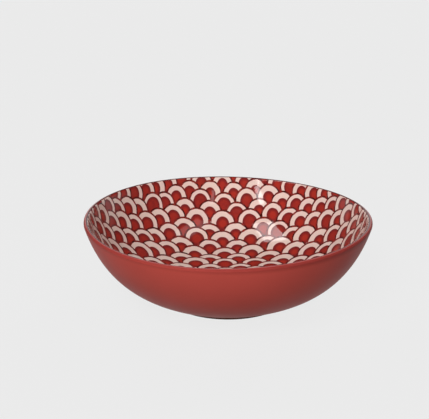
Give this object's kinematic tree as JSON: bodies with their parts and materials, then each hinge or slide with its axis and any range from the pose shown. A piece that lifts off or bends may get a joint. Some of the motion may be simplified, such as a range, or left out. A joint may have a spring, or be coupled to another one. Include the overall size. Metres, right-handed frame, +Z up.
{
  "type": "salad bowl",
  "caption": "Round open ceramic bowl for serving, with a curved wall, rounded lip and low foot ring, satin outside and glossy with a scale pattern inside.",
  "frame": {"origin": "centre of the foot ring's bearing face, on the surface that the bowl stands on", "axes": "+Z up along the bowl's axis of revolution, +Y towards the side that the scales of the pattern point to, +X to the right when looking along +Y"},
  "size_m": [0.25, 0.25, 0.075],
  "materials": {
    "bare_stoneware": "matte unglazed fired clay",
    "satin_glaze": "satin red glaze",
    "patterned_glaze": "clear gloss over a red and white scale pattern, plain dark red on the lip"
  },
  "bodies": {
    "root": {"stoneware_body": "bare_stoneware", "outer_glaze": "satin_glaze", "inner_glaze": "patterned_glaze", "underside_glaze": "satin_glaze"}
  },
  "joints": []
}
